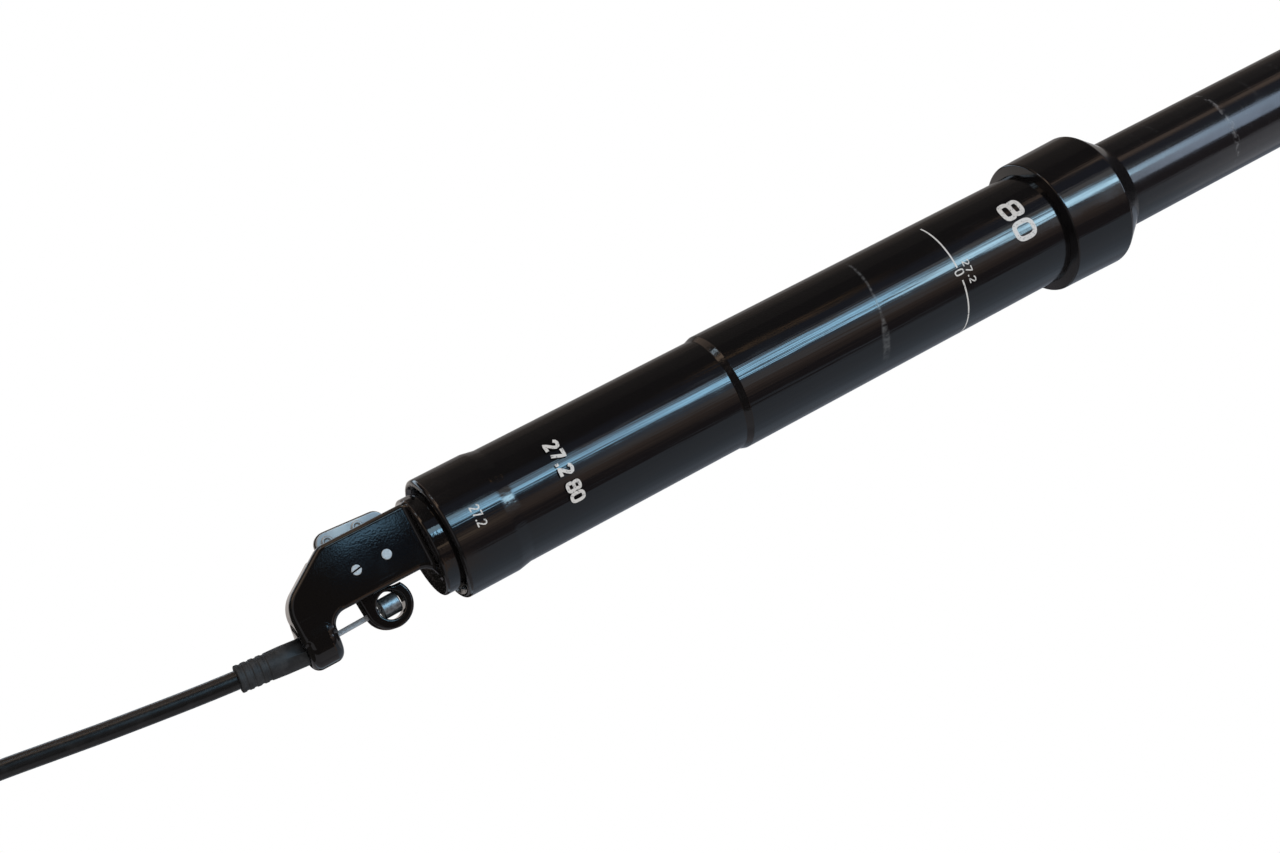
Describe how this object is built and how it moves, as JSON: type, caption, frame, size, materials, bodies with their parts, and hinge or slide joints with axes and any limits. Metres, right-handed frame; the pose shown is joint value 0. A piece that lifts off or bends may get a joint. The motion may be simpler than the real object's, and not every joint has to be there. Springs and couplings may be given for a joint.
{
  "type": "dropper seatpost",
  "caption": "Telescoping bicycle seatpost: gloss black outer tube with collar, sliding stanchion with saddle rail clamp, and a cable-pulled lever actuator with coiled housing at its foot.",
  "frame": {"origin": "on the post's axis at the top of the clamped stretch, just below the collar", "axes": "+Z along the post towards the saddle, +X towards the cable hook"},
  "size_m": [0.0871, 0.055, 0.489],
  "materials": {
    "gloss_black": "gloss black paint over aluminium",
    "stanchion_black": "hard black anodised, polished",
    "satin_black": "satin black anodised forging",
    "cast_black": "gloss black painted casting",
    "alloy": "turned",
    "zinc_steel": "bright zinc plated",
    "bright_steel": "ground",
    "bolt_steel": "plated",
    "wire_steel": "drawn strands",
    "key_brass": "machined",
    "seal_rubber": "smooth",
    "boot_rubber": "matte",
    "housing_black": "gloss jacket",
    "tie_black": "matte",
    "bushing_plastic": "moulded"
  },
  "bodies": {
    "outer": {"outer_tube": "gloss_black", "collar": "gloss_black", "collar_o_ring": "seal_rubber", "wiper_seal": "seal_rubber", "upper_bushing": "bushing_plastic", "actuator_bracket": "cast_black", "guide_plate": "zinc_steel", "plate_rivets": "zinc_steel", "pivot_pins": "zinc_steel", "rod_nut": "alloy", "bump_stop": "seal_rubber", "piston_rod": "bright_steel", "piston": "alloy", "housing_ferrule": "alloy", "cable_boot": "boot_rubber", "cable_housing": "housing_black", "cable_coil": "housing_black", "coil_tie": "tie_black", "far_ferrule": "alloy"},
    "inner": {"stanchion": "stanchion_black", "guide_keys": "key_brass", "lower_bushing": "bushing_plastic", "cartridge_tube": "alloy", "cartridge_seal_head": "alloy", "cartridge_plug": "alloy", "cartridge_snap_ring": "bright_steel", "saddle_head": "satin_black", "clamp_bolts": "bolt_steel", "bolt_washers": "bolt_steel"},
    "saddle_clamp": {"lower_cradle": "satin_black", "upper_clamp": "satin_black"},
    "front_nut": {"front_barrel_nut": "bolt_steel"},
    "rear_nut": {"rear_barrel_nut": "bolt_steel"},
    "ring_lever": {"cable_lever": "cast_black"},
    "push_rocker": {"push_lever": "zinc_steel"},
    "valve_pin": {"release_pin": "bright_steel"},
    "cable_core": {"cable_head": "zinc_steel", "inner_wire": "wire_steel"},
    "cable_tail": {"wire_tail": "wire_steel", "crimp_cap": "alloy"}
  },
  "joints": [
    {"name": "post_slide", "type": "slide", "parent": "outer", "child": "inner", "axis": [0, 0, 1], "range_m": [-0.08, 0], "stiffness_N_per_m": 400, "springref_m": 0.5},
    {"name": "saddle_tilt", "type": "hinge", "parent": "inner", "child": "saddle_clamp", "pos_m": [0, 0, 0.154], "axis": [0, 1, 0], "range_deg": [-8, 8]},
    {"name": "front_nut_slide", "type": "slide", "parent": "inner", "child": "front_nut", "axis": [0, 0, 1], "range_m": [-0.0032, 0.0032]},
    {"name": "rear_nut_slide", "type": "slide", "parent": "inner", "child": "rear_nut", "axis": [0, 0, 1], "range_m": [-0.0032, 0.0032]},
    {"name": "wire_slide", "type": "slide", "parent": "outer", "child": "cable_core", "axis": [0.0344, 0, -0.9994], "range_m": [0, 0.00394], "stiffness_N_per_m": 2, "springref_m": -0.003},
    {"name": "wire_tail_slide", "type": "slide", "parent": "outer", "child": "cable_tail", "axis": [0, 0, -1], "range_m": [-0.0001, 0.0042]},
    {"name": "cable_lever_pivot", "type": "hinge", "parent": "outer", "child": "ring_lever", "pos_m": [-0.0022, 0, -0.1774], "axis": [0, 1, 0], "range_deg": [-1, 25]},
    {"name": "push_lever_pivot", "type": "hinge", "parent": "outer", "child": "push_rocker", "pos_m": [-0.0022, 0, -0.1705], "axis": [0, 1, 0], "range_deg": [-25, 1]},
    {"name": "release_pin_slide", "type": "slide", "parent": "outer", "child": "valve_pin", "axis": [0, 0, 1], "range_m": [-0.0001, 0.0012]}
  ],
  "couplings": [
    {"joint": "front_nut_slide", "follows": "saddle_tilt", "m_per_rad": -0.0215},
    {"joint": "rear_nut_slide", "follows": "saddle_tilt", "m_per_rad": 0.0215},
    {"joint": "wire_tail_slide", "follows": "wire_slide", "ratio": 1},
    {"joint": "cable_lever_pivot", "follows": "wire_slide", "rad_per_m": 106.38},
    {"joint": "push_lever_pivot", "follows": "wire_slide", "rad_per_m": -106.38},
    {"joint": "release_pin_slide", "follows": "wire_slide", "ratio": 0.24468}
  ]
}
